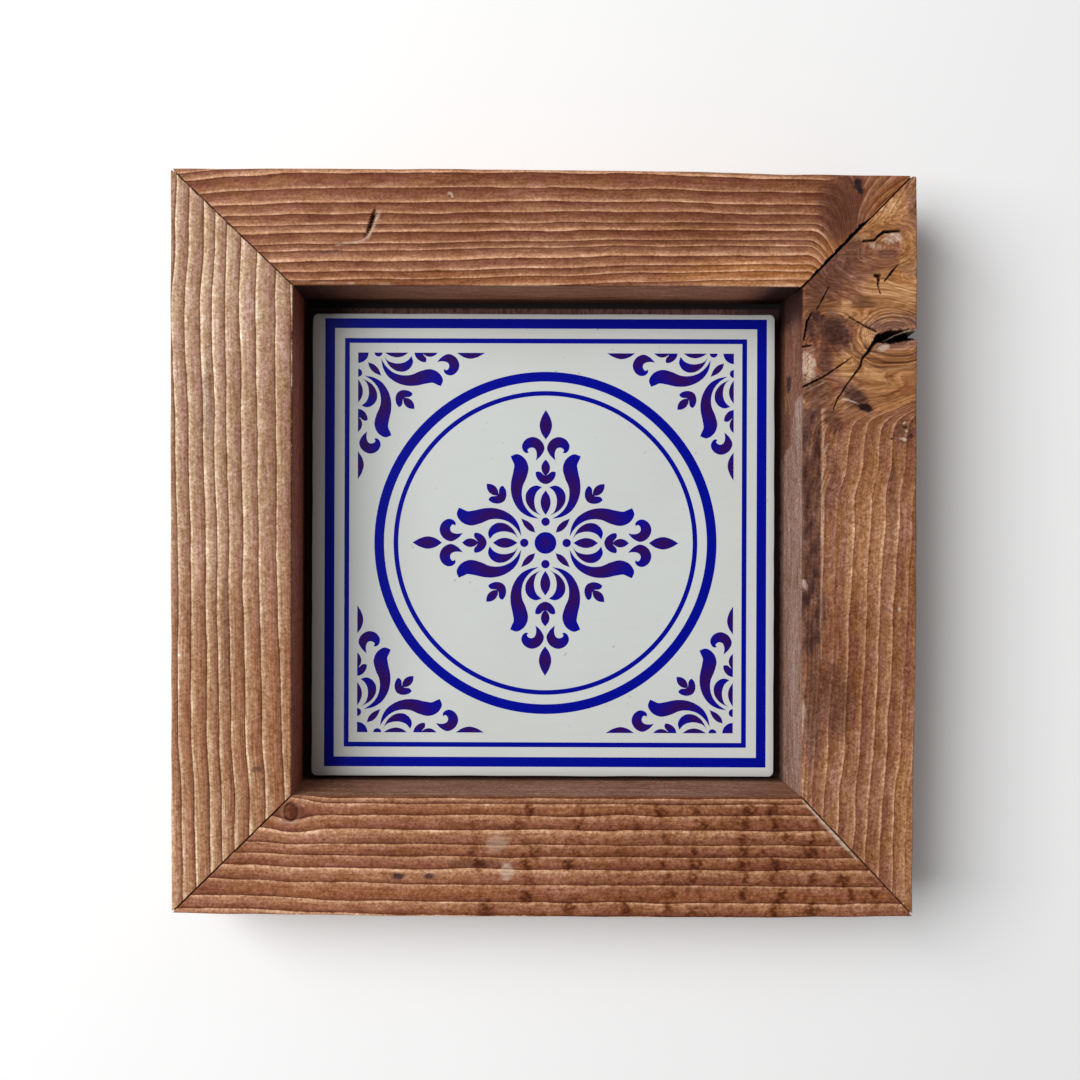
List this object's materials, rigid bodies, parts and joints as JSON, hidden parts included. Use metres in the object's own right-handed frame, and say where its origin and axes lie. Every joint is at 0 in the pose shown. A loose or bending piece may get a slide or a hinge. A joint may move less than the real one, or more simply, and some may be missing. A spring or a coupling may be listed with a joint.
{
  "type": "framed decorative tile",
  "caption": "Square glazed tile with a printed blue ornament, set deep in a thick mitred frame of stained pine, with a backing board held by pins.",
  "frame": {"origin": "middle of the back face, at the lowest point of the frame as it lies on its back", "axes": "+Z points out of the front of the tile, +Y to the top edge of the picture, +X to the right seen from the front"},
  "size_m": [0.2312, 0.2314, 0.036],
  "materials": {
    "stained_pine": "satin",
    "white_glaze": "gloss",
    "cobalt_print": "gloss",
    "board": "matte",
    "steel": "satin"
  },
  "bodies": {
    "root": {"rail_top": "stained_pine", "rail_bottom": "stained_pine", "stile_left": "stained_pine", "stile_right": "stained_pine", "tile": "white_glaze", "backing_board": "board", "panel_pin_1": "steel", "panel_pin_2": "steel", "panel_pin_3": "steel", "panel_pin_4": "steel", "panel_pin_5": "steel", "panel_pin_6": "steel", "panel_pin_7": "steel", "panel_pin_8": "steel"}
  },
  "joints": []
}
